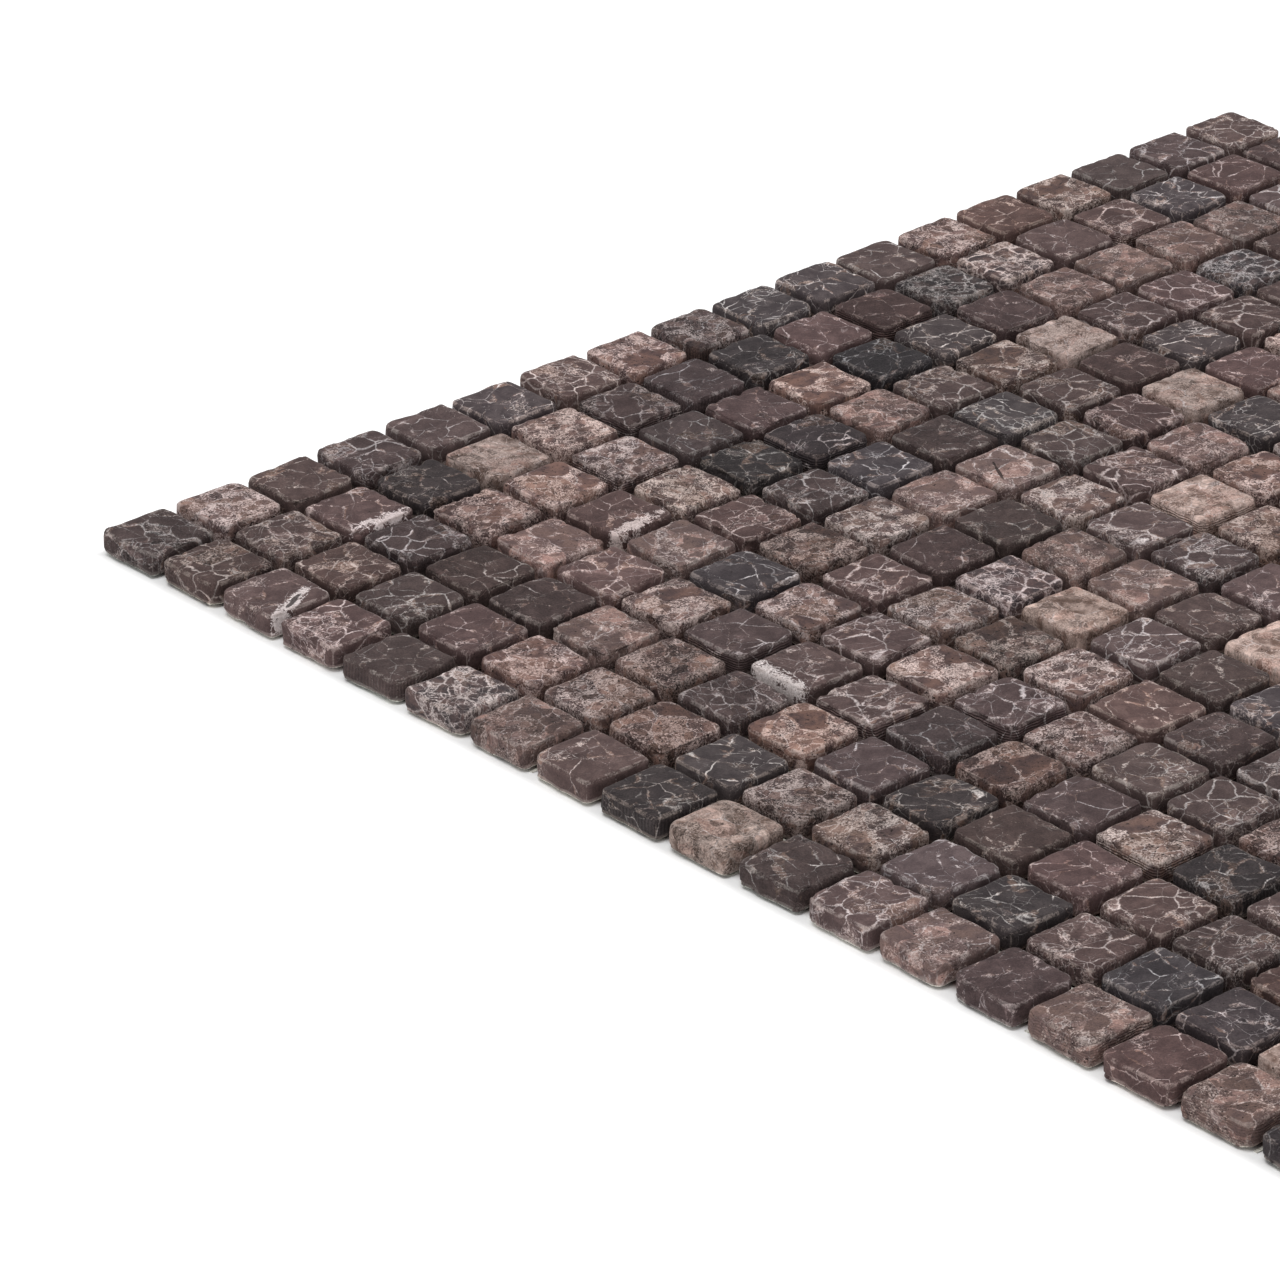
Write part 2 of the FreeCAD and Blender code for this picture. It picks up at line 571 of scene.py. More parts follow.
def laid_down(tree, chips):
    """The chips, turned and moved to their own places in the sheet."""
    here = add(tree, "GeometryNodeInputPosition").outputs[0]
    swung = rotated(tree, here, "AXIS_ANGLE", Angle=stored(tree, "turn"), Axis=(0, 0, 1))
    return move_to(tree, chips, vector_work(tree, "ADD", swung, stored(tree, "centre", "FLOAT_VECTOR")))


def chip_tree():
    """Turns points that carry a chip's sizes into tumbled chips of stone."""
    numbers = ("Corner round", "Face arris", "Back arris", "Arris spread", "Waviness", "Roughening")
    inputs = {"Geometry": "geometry", "Lines along": "whole", "Lines up": "whole"}
    inputs.update({name: "number" for name in (*numbers, "Bite depth")})
    inputs.update({f"Marble {kind}": "material" for kind in KINDS})
    tree, given, end = new_tree("Tumbled chips", "GeometryNodeTree", inputs, {"Geometry": "geometry"})
    chips = tumbled(tree, given, blanks(tree, given))
    chips = move_to(tree, chips, stored(tree, "shape", "FLOAT_VECTOR"))
    chips = laid_down(tree, worn_hollow(tree, given, chips))
    chips = add(tree, "GeometryNodeSetShadeSmooth", {"Geometry": chips, "Shade Smooth": True}).outputs[0]
    chips = add(tree, "GeometryNodeRealizeInstances", {0: chips}).outputs[0]
    kind_number = stored(tree, "kind")
    for number, kind in enumerate(KINDS):
        this_kind = (kind_number - number).size().work("LESS_THAN", 0.5)
        inputs = {"Geometry": chips, "Selection": this_kind, "Material": given[f"Marble {kind}"]}
        chips = add(tree, "GeometryNodeSetMaterial", inputs).outputs[0]
    feed(tree, end.inputs["Geometry"], chips)
    return tree


# The chips as the frame has them
def solids_of(node):
    """The corner points of each separate solid of a node."""
    mesh = bmesh.new()
    mesh.from_mesh(NODES[node].data)
    bmesh.ops.remove_doubles(mesh, verts=mesh.verts, dist=0.001 * MM)
    left = set(mesh.verts)
    solids = []
    while left:
        found = [left.pop()]
        for vertex in found:
            beside = {edge.other_vert(vertex) for edge in vertex.link_edges} & left
            left -= beside
            found.extend(beside)
        solids.append([vertex.co.copy() for vertex in found])
    mesh.free()
    return sorted(solids, key=lambda points: (min(p.x for p in points), min(p.y for p in points)))


def middle(points):
    """The middle of the box round some points, and its half sizes."""
    low = [min(p[axis] for p in points) for axis in range(3)]
    high = [max(p[axis] for p in points) for axis in range(3)]
    return (Vector(low) + Vector(high)) / 2, (Vector(high) - Vector(low)) / 2


def chip_sizes(points):
    """Where a chip of the frame lies, how it is turned, its half sizes and the wear of its corners."""
    bottom = min(p.z for p in points)
    outline = [p for p in points if p.z < bottom + TINY]
    centre, _ = middle(outline)
    outline.sort(key=lambda p: math.atan2(p.y - centre.y, p.x - centre.x))
    sides = [b - a for a, b in zip(outline, outline[1:] + outline[:1])]
    longest = max(sides, key=lambda side: side.length)
    quarter = math.radians(90)
    slack = TINY * 10
    turn = (math.atan2(longest.y, longest.x) + quarter / 2) % quarter - quarter / 2
    squared = Matrix.Rotation(-turn, 3, "Z")
    straight = [squared @ p for p in points]
    centre, half = middle(straight)
    wear = {}
    for side_x, column_name in ((1, "right"), (-1, "left")):
        for side_y, row_name in ((1, "rear"), (-1, "front")):
            ends = [
                side_x * (p.x - centre.x)
                for p in straight
                if side_y * (p.y - centre.y) > half.y - slack and side_x * (p.x - centre.x) > 0
            ]
            wear[f"wear_{column_name}_{row_name}"] = half.x - max(ends)
    return {"centre": squared.inverted() @ centre, "half_size": half, "turn": turn, **wear}


def places_in(text):
    """The places that a text names, as pairs of column and row."""
    return [tuple(int(number) for number in pair.split(",")) for pair in text.split()]


FAR_OFF = (1000, 1000, 1, 1, 0)  # an oval that no part of a chip comes near


def oval_marks(name, oval):
    """The middle of an oval on a chip, and its two axes, each divided by its own half length."""
    x, y, half_length, half_width, degrees = oval
    cos, sin = math.cos(math.radians(degrees)), math.sin(math.radians(degrees))
    return {
        f"{name}_place": (x, y, 0),
        f"{name}_along": (cos / half_length, sin / half_length, 0),
        f"{name}_across": (-sin / half_width, cos / half_width, 0),
    }


QUARRY_REACH = 300  # how far from the middle of the quarry a chip may come from, in millimetres


def chip_points(node, row, settings):
    """A mesh of one point for each chip of a row, which carries the chip's sizes and chance marks."""
    known = {place: kind for kind, text in KNOWN_PLACES.items() for place in places_in(text)}
    light, dark = places_in(LIGHT_FOR_THEIR_KIND), places_in(DARK_FOR_THEIR_KIND)
    chips = []
    sawn_share = settings.sawn_share / 2  # of the chips with upright marks, and as many with level ones
    for column, points in enumerate(solids_of(node)):
        place = (column, row)
        chance = random.Random(f"{settings.seed} {column} {row}")
        kind = known.get(place)
        if kind is None:
            kind = chance.choices(list(CHANCE_SHARES), list(CHANCE_SHARES.values()))[0]
        chip = chip_sizes(points)
        chip["kind"] = KINDS.index(kind)
        chip["chance"] = chance.uniform(0, 100)
        chip["tone"] = chance.uniform(-1, 1)
        chip["warmth"] = chance.uniform(-1, 1)
        if place in light or place in dark:
            chip["tone"] = abs(chip["tone"]) * (1 if place in light else -1)
        chip["sawn_upright"] = 1.0 if chance.random() < sawn_share or place in SAWN_UPRIGHT else 0.0
        chip["sawn_level"] = 1.0 if chance.random() < sawn_share or place in SAWN_LEVEL else 0.0
        chip["quarry_turn"] = [chance.uniform(0, 2 * math.pi) for _ in range(3)]
        chip["quarry_place"] = [chance.uniform(-QUARRY_REACH, QUARRY_REACH) for _ in range(3)]
        chip["ragged"] = chance.random() ** 3
        chip["gold"] = chance.uniform(-1, 1)
        chip.update(oval_marks("band", BANDS.get(place, FAR_OFF)))
        chip.update(oval_marks("cavity", CAVITIES.get(place, FAR_OFF)))
        chips.append(chip)
    mesh = bpy.data.meshes.new("Chip points")
    mesh.from_pydata([tuple(chip["centre"]) for chip in chips], [], [])
    for name, first in chips[0].items():
        single = isinstance(first, (int, float))
        attribute = mesh.attributes.new(name, "FLOAT" if single else "FLOAT_VECTOR", "POINT")
        for item, chip in zip(attribute.data, chips):
            if single:
                item.value = chip[name]
            else:
                item.vector = chip[name]
    return mesh


def grown(mesh, name, tree, values):
    """A plain mesh object that a geometry tree makes from a mesh."""
    seedling = bpy.data.objects.new(name + "_seedling", mesh)
    bpy.context.collection.objects.link(seedling)
    modifier = seedling.modifiers.new("Form", "NODES")
    modifier.node_group = tree
    for item in tree.interface.items_tree:
        if item.in_out == "INPUT" and item.name in values:
            modifier[item.identifier] = values[item.name]
    seen = seedling.evaluated_get(bpy.context.evaluated_depsgraph_get())
    made = bpy.data.meshes.new_from_object(seen)
    bpy.data.objects.remove(seedling)
    piece = bpy.data.objects.new(name, made)
    made.name = name
    bpy.context.collection.objects.link(piece)
    return piece


# Effects that the marbles share
def bent_place_group():
    """Bends a place so that straight patterns come out natural."""
    inputs = {"Place": "vector", "Lump size": "number", "Bend": "number"}
    tree, given, end = new_tree("Bent place", "ShaderNodeTree", inputs, {"Place": "vector"})
    values = {"Vector": given["Place"], "Scale": 1 / given["Lump size"], "Detail": 1.5}
    cloud = add(tree, "ShaderNodeTexNoise", values)
    shift = vector_work(tree, "SUBTRACT", cloud.outputs["Color"], (0.5, 0.5, 0.5))
    shift = vector_work(tree, "SCALE", shift, scale=given["Bend"] * 2)
    feed(tree, end.inputs["Place"], vector_work(tree, "ADD", given["Place"], shift))
    return tree


def clast_group():
    """Angular pieces of one size: how far their border is, in millimetres, and three chance numbers."""
    inputs = {"Place": "vector", "Size": "number"}
    outputs = {"Gap": "number", "Chance": "number", "Tone": "number", "Hue": "number"}
    tree, given, end = new_tree("Clasts", "ShaderNodeTree", inputs, outputs)
    spots = {"Vector": given["Place"], "Scale": 1 / given["Size"]}
    edge = add(tree, "ShaderNodeTexVoronoi", spots, feature="DISTANCE_TO_EDGE")
    cells = add(tree, "ShaderNodeTexVoronoi", spots, feature="F1")
    feed(tree, end.inputs["Gap"], output(edge, "Distance") * given["Size"])
    for name, value in zip(("Chance", "Tone", "Hue"), parts_of(tree, cells.outputs["Color"])):
        feed(tree, end.inputs[name], value)
    return tree


def seam_group():
    """The pale filling of the cracks that lie at a distance of zero. It is thicker where it is stronger."""
    inputs = {"Gap": "number", "Width": "number", "Strength": "number"}
    tree, given, end = new_tree("Filled cracks", "ShaderNodeTree", inputs, {"Line": "number"})
    strength = given["Strength"].at_least(0).at_most(1.5)
    width = given["Width"] * (0.3 + strength)
    line = (1 - given["Gap"].ramp(width * 0.2, width)) * strength.at_most(1)
    feed(tree, end.inputs["Line"], line)
    return tree


# The marble. Its patterns have their sizes in millimetres of stone.
BROAD_LUMP = 4.5
BROAD_BEND = 1.3
FINE_LUMP = 0.7
FINE_BEND = 0.2
DRIFT_LUMP = 2.8
CLOUD_LUMP = 3.4
ZONE_LUMP = 8.0
FLECK_LUMP = 0.42
GRAIN_LUMP = 0.36
PIT_LUMP = 0.7
SKIN_LUMP = 0.45
RIM_WIDTH = 0.08
RIM_WIDENING = 0.26
CRACK_WIDTH = 0.1
VEIN_WIDTH = 0.1
VEIN_WIDENING = 0.2
LONG_VEIN_WIDTH = 0.06
LONG_VEIN_WIDENING = 0.2
SKIN_RELIEF = 0.09
SAW_RELIEF = 0.05
HOLE_DEPTH = 0.2
CAVITY_DEPTH = 0.4
DUSTY_FROM = (0.3 * MM, 1.5 * MM)  # how far below a chip's middle its sides get dusty, from none to most

MARBLE_COLOURS = ("Ground", "Cloud", "Pale", "Rust", "Vein", "Patch", "Pit shade", "Dust", "Glue")
MARBLE_NUMBERS = (
    "Clast size",
    "Shard size",
    "Breccia",
    "Crush",
    "Pale share",
    "Rim share",
    "Crack share",
    "Vein share",
    "Vein spacing",
    "Patch share",
    "Pit share",
    "Dust share",
    "Clast tones",
    "Chip tones",
    "Chip hues",
    "Saw step",
)
CHIP_NUMBERS = ("tone", "warmth", "gold", "worn", "side", "back", "sawn_upright", "sawn_level")


def attribute(tree, name, socket="Fac"):
    return add(tree, "ShaderNodeAttribute", attribute_name=name).outputs[socket]


def chip_marks(tree):
    """What the mesh says of a chip: its place in the quarry, its shape, its own tones and its wear."""
    chip = SimpleNamespace(**{name: Value(tree, attribute(tree, name)) for name in CHIP_NUMBERS})
    chip.place = attribute(tree, "quarry", "Vector")
    chip.shape = attribute(tree, "shape", "Vector")
    chip.x, chip.y, chip.z = parts_of(tree, chip.shape)
    return chip


def oval(tree, chip, name):
    """1 in the middle of a chip's oval of that name, 0 on its border and less outside."""
    on_chip = vector_work(tree, "MULTIPLY", chip.shape, (1 / MM, 1 / MM, 0))
    away = vector_work(tree, "SUBTRACT", on_chip, attribute(tree, f"{name}_place", "Vector"))
    inside = 1
    for axis in ("along", "across"):
        dot = add(tree, "ShaderNodeVectorMath", {0: away}, operation="DOT_PRODUCT")
        feed(tree, dot.inputs[1], attribute(tree, f"{name}_{axis}", "Vector"))
        inside = inside - output(dot, "Value") ** 2
    return inside


def soft_noise(tree, place, size, detail, roughness=0.5):
    """Noise from 0 to 1 with lumps of that size."""
    values = {"Vector": place, "Scale": 1 / size, "Detail": detail, "Roughness": roughness}
    return output(add(tree, "ShaderNodeTexNoise", values), 0)


def broken_pieces(tree, clasts, place, size):
    """What the clast group says of pieces of one size, by name."""
    node = place_group(tree, clasts, {"Place": place, "Size": size})
    names = ("Gap", "Chance", "Tone", "Hue")
    return SimpleNamespace(**{name.lower(): output(node, name) for name in names})


def marble_patterns(tree, given, place, bent, clasts):
    """The noises and the broken pieces that the marble is made of, where a point lay in the quarry."""
    broad_bend = {"Place": place, "Lump size": BROAD_LUMP, "Bend": BROAD_BEND}
    broad = place_group(tree, bent, broad_bend).outputs[0]
    fine_bend = {"Place": broad, "Lump size": FINE_LUMP, "Bend": FINE_BEND}
    fine = place_group(tree, bent, fine_bend).outputs[0]
    return SimpleNamespace(
        broad=broad,
        drift=soft_noise(tree, broad, DRIFT_LUMP, 2),
        clouds=soft_noise(tree, broad, CLOUD_LUMP, 2, 0.6).ramp(0.34, 0.7),
        zone=soft_noise(tree, fine, ZONE_LUMP, 2, 0.45),
        flecks=soft_noise(tree, fine, FLECK_LUMP, 4, 0.78),
        grain=soft_noise(tree, place, GRAIN_LUMP, 2, 0.7),
        pieces=broken_pieces(tree, clasts, fine, given["Clast size"]),
        shards=broken_pieces(tree, clasts, fine, given["Shard size"]),
    )


def crushed_zones(given, at):
    """Where the stone is crushed: whole pieces of it, and bands along the borders of the others."""
    whole = given["Breccia"] - at.pieces.chance - (at.drift - 0.5) * 0.5 - (at.zone - 0.5) * 0.6
    band = (at.drift * 0.6 + (1 - at.zone) * 0.5 - 0.67 + given["Crush"] * 0.4).at_least(0) * 5
    return whole.ramp(-0.03, 0.06).at_least(1 - at.pieces.gap.ramp(band * 0.7, band + 0.15))


def dark_shards(given, at):
    """The shards that stay dark in the pale ground."""
    is_dark = 1 - (at.shards.tone + given["Pale share"] * 0.3).ramp(0.69, 0.73)
    return is_dark * (at.shards.gap - (at.flecks - 0.5) * 0.5).ramp(0.06, 0.15)


def crushed_stone(tree, given, chip, at, ground, dark_shard):
    """Pale, mottled ground with rusty spots and with the dark shards in it."""
    low = 0.74 - given["Pale share"] * 0.4
    mottle = at.flecks * 1.9 - 0.45 + (at.drift - 0.5) * 0.8 + (at.clouds - 0.5) * 0.2
    # painted shade: fewer pale pieces on the sides, so that they come out darker, for the shade that falls
    # on them
    pale = mottle.ramp(low - 0.18, low + 0.18) * (1 - dark_shard * 0.85) * (1 - chip.side * 0.25)
    rusty = (at.pieces.hue * 0.5 + at.drift * 0.6).ramp(0.58, 0.8) * 0.35
    return between(tree, rusty, between(tree, pale, ground, given["Pale"]), given["Rust"])


def healed_cracks(tree, given, at, crushed, seams):
    """The veins: round the pieces, round the shards where the stone is crushed, and long curved ones."""
    broken = (at.flecks * 3 - 0.6).at_least(0)

    def seam(gap, width, strength):
        values = {"Gap": gap, "Width": width, "Strength": strength * broken}
        return output(place_group(tree, seams, values), "Line")

    rim_strength = (at.drift * 0.7 + at.zone * 1.5 - 1.33 + given["Rim share"] * 0.5) * 4
    rims = seam(at.pieces.gap, RIM_WIDTH + (1 - at.zone) * RIM_WIDENING, rim_strength)
    crack_strength = (crushed * 0.2 + 0.8 - at.drift * 0.8 - at.zone * 1.2 + given["Crack share"] * 0.4) * 3
    cracks = seam(at.shards.gap, CRACK_WIDTH, crack_strength) * 0.7
    vein_strength = (0.1 + given["Vein share"] * 0.5 - at.drift) * 4
    veins = seam((at.clouds - 0.5).size() * 2.2, VEIN_WIDTH + at.zone * VEIN_WIDENING, vein_strength)
    drawn_out = vector_work(tree, "MULTIPLY", at.broad, (0.55, 1, 1))
    spots = {"Vector": drawn_out, "Scale": 1 / given["Vein spacing"]}
    long_crack = add(tree, "ShaderNodeTexVoronoi", spots, feature="DISTANCE_TO_EDGE")
    long_gap = output(long_crack, "Distance") * given["Vein spacing"]
    long_strength = (given["Vein share"] * 0.9 - 0.08 + (at.drift - at.zone) * 1.6) * 1.2
    long_veins = seam(long_gap, LONG_VEIN_WIDTH + at.drift * LONG_VEIN_WIDENING, long_strength)
    return rims.at_least(cracks).at_least(veins).at_least(long_veins)


def white_patches(given, at, band, dark_shard):
    """Patches of white calcite with sharp, broken borders: whole pieces, and a chip's own band."""
    white_piece = (at.pieces.chance + given["Patch share"]).ramp(1.0, 1.01)
    white_piece = white_piece * (at.pieces.gap - (at.flecks - 0.5) * 2).ramp(0, 0.1)
    band = band + (at.flecks - 0.5) * 2.2 - dark_shard * 0.5 + (at.drift - 0.5) * 1.2
    return white_piece.at_least(band.ramp(0.1, 0.35))


def dusty_edges(given, chip, at):
    """The bruised, dusty stone on the arrises and low on the sides."""
    low_down = (0 - chip.z).ramp(*DUSTY_FROM)
    bruise = at.drift * 1.2 + at.flecks * 0.6 + at.grain * 0.5 + low_down * 0.16 - 0.95
    return chip.worn.at_least(low_down * 0.93).ramp(0.8, 1.0) * bruise.ramp(0.1, 0.36) * given["Dust share"]


def saw_marks(given, chip, at):
    """The marks of the saw on the sides, from -1 to 1 or a little more."""
    upright = ((chip.x + chip.y) / given["Saw step"]).work("SINE") * chip.sawn_upright
    uneven_level = chip.z + (at.drift - 0.5) * 0.8 * MM
    level = (uneven_level / given["Saw step"] * 1.6).work("SINE") * chip.sawn_level
    still_flat = chip.side * (1 - chip.worn.ramp(0.65, 1.0))
    return (upright + level * (0.8 + at.clouds)) * still_flat


def chip_tint(tree, given, chip, at, crushed, dark_shard, saw_lines):
    """The tones of the piece and of the whole chip, and the grain, as a colour to multiply by."""
    light = 1 + (at.pieces.tone - 0.5) * given["Clast tones"] + chip.tone * given["Chip tones"]
    light = light + (at.grain - 0.5) * 1.2 + (at.flecks - 0.5) * (1.35 + crushed * 1.1)
    light = light + (at.shards.hue - 0.3) * crushed * dark_shard + saw_lines * 0.14
    light = light.at_least(0.2)
    hue = chip.warmth * given["Chip hues"]
    gold = chip.gold * given["Chip hues"] * 0.5
    return vector_of(tree, light * (1 + hue), light, light * (1 - hue * 0.3 - gold))


def marble_group(bent, clasts, seams):
    """Brecciated marble: plain pieces, zones of fine shards, veins, pale patches, pits and worn edges, with
    painted shade in the pits and on the sides.
    """
    inputs = {name: "colour" for name in MARBLE_COLOURS}
    inputs.update({name: "number" for name in MARBLE_NUMBERS})
    outputs = {"Color": "colour", "Roughness": "number", "Height": "number"}
    tree, given, end = new_tree("Brecciated marble", "ShaderNodeTree", inputs, outputs)
    chip = chip_marks(tree)
    at = marble_patterns(tree, given, chip.place, bent, clasts)

    # The stone
    ground = between(tree, at.clouds, given["Ground"], given["Cloud"])
    crushed = crushed_zones(given, at)
    dark_shard = dark_shards(given, at)
    marble = between(tree, crushed, ground, crushed_stone(tree, given, chip, at, ground, dark_shard))
    # painted shade: fainter veins on the sides, so that they come out darker, for the shade that falls on
    # them
    veins = healed_cracks(tree, given, at, crushed, seams) * (0.85 - chip.side * 0.35)
    marble = between(tree, veins, marble, given["Vein"])
    patch = white_patches(given, at, oval(tree, chip, "band"), dark_shard)
    dull = (1.5 - at.flecks * 2.2).at_least(0).at_most(1)
    marble = between(tree, patch, marble, between(tree, dull, given["Patch"], given["Pale"]))

    # What time, the saw and the glue did to it, with painted shade in its holes
    fewer = given["Pit share"] * 0.2
    pits = soft_noise(tree, chip.place, PIT_LUMP, 1).ramp(0.86 - fewer, 0.9 - fewer)
    cavity = (oval(tree, chip, "cavity") + (at.drift - 0.5) * 2).ramp(0, 0.5)
    hole = pits.at_least(cavity)
    # painted shade: pits and cavities take the near-black pit colour for the shade inside them
    marble = between(tree, hole * 0.9, marble, given["Pit shade"])
    marble = between(tree, dusty_edges(given, chip, at), marble, given["Dust"])
    glue_film = chip.back.ramp(0.5, 1.0) * (at.drift + at.flecks * 0.4).ramp(0.58, 0.66) * 0.8
    marble = between(tree, glue_film, marble, given["Glue"])
    saw_lines = saw_marks(given, chip, at)
    tint = chip_tint(tree, given, chip, at, crushed, dark_shard, saw_lines)
    feed(tree, end.inputs["Color"], vector_work(tree, "MULTIPLY", marble, tint))
    roughness = 0.68 + at.grain * 0.14 - patch * 0.04 - chip.worn * 0.04 + chip.back * 0.05
    feed(tree, end.inputs["Roughness"], roughness)
    height = soft_noise(tree, chip.place, SKIN_LUMP, 2, 0.65) * SKIN_RELIEF + saw_lines * SAW_RELIEF
    feed(tree, end.inputs["Height"], height - hole * HOLE_DEPTH - cavity * CAVITY_DEPTH)
    return tree


def marble_materials(colours):
    """One material for each kind of marble."""
    group = marble_group(bent_place_group(), clast_group(), seam_group())
    shared = {
        "Ground": colours.brown,
        "Cloud": colours.brown_cloud,
        "Pale": colours.tan,
        "Rust": colours.rust,
        "Vein": colours.vein,
        "Patch": colours.white,
        "Pit shade": colours.pit_painted_shade,
        "Dust": colours.dust,
        "Glue": colours.glue,
        "Clast size": 6.5,
        "Shard size": 2.2,
        "Breccia": 0.06,
        "Crush": 0.26,
        "Pale share": 0.26,
        "Rim share": 0.36,
        "Crack share": 0.25,
        "Vein share": 0.26,
        "Vein spacing": 8.0,
        "Patch share": 0.0,
        "Pit share": 0.5,
        "Dust share": 0.55,
        "Clast tones": 0.25,
        "Chip tones": 0.36,
        "Chip hues": 0.06,
        "Saw step": 0.13 * MM,
    }
    own = {
        "brown": {"Chip tones": 0.42, "Chip hues": 0.09},
        "veined": {
            "Breccia": 0.18,
            "Crush": 0.45,
            "Pale share": 0.34,
            "Rim share": 0.68,
            "Crack share": 0.6,
            "Vein share": 0.48,
        },
        "charcoal": {
            "Ground": colours.charcoal,
            "Cloud": colours.charcoal_cloud,
            "Vein": colours.white,
            "Pale": colours.dust,
            "Breccia": 0.12,
            "Crush": 0.36,
            "Rim share": 0.42,
            "Crack share": 0.36,
            "Vein share": 0.4,
            "Chip tones": 0.5,
        },
        "breccia": {
            "Cloud": colours.russet,
            "Clast size": 8.0,
            "Shard size": 2.3,
            "Breccia": 0.76,
            "Crush": 0.66,
            "Pale share": 0.61,
            "Rim share": 0.4,
            "Crack share": 0.1,
            "Vein share": 0.2,
            "Pit share": 1.0,
            "Clast tones": 0.45,
            "Chip hues": 0.05,
        },
        "netted": {
            "Ground": colours.charcoal,
            "Cloud": colours.brown_cloud,
            "Pale": colours.vein,
            "Clast size": 3.8,
            "Shard size": 1.8,
            "Breccia": 0.2,
            "Crush": 0.55,
            "Pale share": 0.44,
            "Rim share": 0.78,
            "Crack share": 0.8,
            "Vein share": 0.45,
        },
        "beige": {
            "Ground": colours.beige_cloud,
            "Cloud": colours.beige,
            "Rust": colours.rose,
            "Pale": colours.beige,
            "Clast size": 4.5,
            "Breccia": 0.95,
            "Pale share": 0.68,
            "Pit share": 0.7,
            "Clast tones": 0.3,
            "Chip tones": 0.25,
            "Dust share": 0.3,
            "Chip hues": 0.03,
        },
        "patched": {"Patch share": 0.02},
        "russet": {
            "Ground": colours.brown_cloud,
            "Cloud": colours.fawn,
            "Rust": colours.rose,
            "Clast size": 5.5,
            "Breccia": 0.62,
            "Crush": 0.5,
            "Pale share": 0.3,
            "Rim share": 0.4,
            "Crack share": 0.2,
            "Vein share": 0.36,
            "Pit share": 0.8,
            "Clast tones": 0.35,
            "Chip hues": 0.03,
        },
    }
    made = {}
    for kind in KINDS:
        material = bpy.data.materials.new(f"Marble {kind}")
        material.use_nodes = True
        tree = material.node_tree
        shader = tree.nodes["Principled BSDF"]
        values = {**shared, **own[kind]}
        for name in MARBLE_COLOURS:
            values[name] = (*values[name], 1)
        stone = place_group(tree, group, values)
        height = stone.outputs["Height"]
        relief = add(tree, "ShaderNodeBump", {"Height": height, "Distance": MM, "Strength": 0.9})
        feed(tree, shader.inputs["Base Color"], stone.outputs["Color"])
        feed(tree, shader.inputs["Roughness"], stone.outputs["Roughness"])
        feed(tree, shader.inputs["Normal"], relief.outputs["Normal"])
        shader.inputs["Specular IOR Level"].default_value = 0.16
        made[kind] = material
    return made


# The net
SWAY_LUMP = 9 * MM  # how soon a yarn strays the other way
STRAND_SCALE = 4000.0  # strands and lumps of binder in a metre
BINDER_SCALE = 350.0


def yarn_tree():
    """Turns straight lines into flat, lumpy yarns."""
    inputs = {
        "Geometry": "geometry",
        "Step": "number",
        "Width": "number",
        "Thickness": "number",
        "Sway": "number",
        "Sides": "whole",
        "Fibre": "material",
    }
    tree, given, end = new_tree("Flat yarns", "GeometryNodeTree", inputs, {"Geometry": "geometry"})
    line = add(tree, "GeometryNodeMeshToCurve", {"Mesh": given["Geometry"]}).outputs[0]
    steps = {"Curve": line, "Length": given["Step"]}
    line = add(tree, "GeometryNodeResampleCurve", steps, mode="LENGTH").outputs[0]
    position = add(tree, "GeometryNodeInputPosition").outputs[0]
    wander = add(tree, "ShaderNodeTexNoise", {"Vector": position, "Scale": 1 / SWAY_LUMP, "Detail": 1.0})
    shift = vector_work(tree, "SUBTRACT", wander.outputs["Color"], (0.5, 0.5, 0.5))
    shift = vector_work(tree, "MULTIPLY", shift, (2, 2, 0))
    shift = vector_work(tree, "SCALE", shift, scale=given["Sway"])
    line = move_by(tree, line, shift)
    line = add(tree, "GeometryNodeSetCurveNormal", {"Curve": line}, mode="Z_UP").outputs[0]
    ring = {"Resolution": given["Sides"], "Radius": 0.5}
    ring = add(tree, "GeometryNodeCurvePrimitiveCircle", ring).outputs[0]
    size = vector_of(tree, given["Width"], given["Thickness"], 1.0)
    ring = add(tree, "GeometryNodeTransform", {"Geometry": ring, "Scale": size}).outputs[0]
    sweep = {"Curve": line, "Profile Curve": ring, "Fill Caps": True}
    yarns = add(tree, "GeometryNodeCurveToMesh", sweep).outputs[0]
    yarns = add(tree, "GeometryNodeSetShadeSmooth", {"Geometry": yarns, "Shade Smooth": True}).outputs[0]
    yarns = add(tree, "GeometryNodeRealizeInstances", {0: yarns}).outputs[0]
    yarns = add(tree, "GeometryNodeSetMaterial", {"Geometry": yarns, "Material": given["Fibre"]}).outputs[0]
    feed(tree, end.inputs["Geometry"], yarns)
    return tree


def yarn_lines(node):
    """A mesh of one line for each yarn of a net node, and the width and thickness of a yarn."""
    ends = []
    for points in solids_of(node):
        centre, half = middle(points)
        run = Vector((half.x, 0, 0)) if half.x > half.y else Vector((0, half.y, 0))
        ends += [centre - run, centre + run]
    mesh = bpy.data.meshes.new("Yarn lines")
    mesh.from_pydata(ends, [(n, n + 1) for n in range(0, len(ends), 2)], [])
    return mesh, 2 * min(half.x, half.y), 2 * half.z


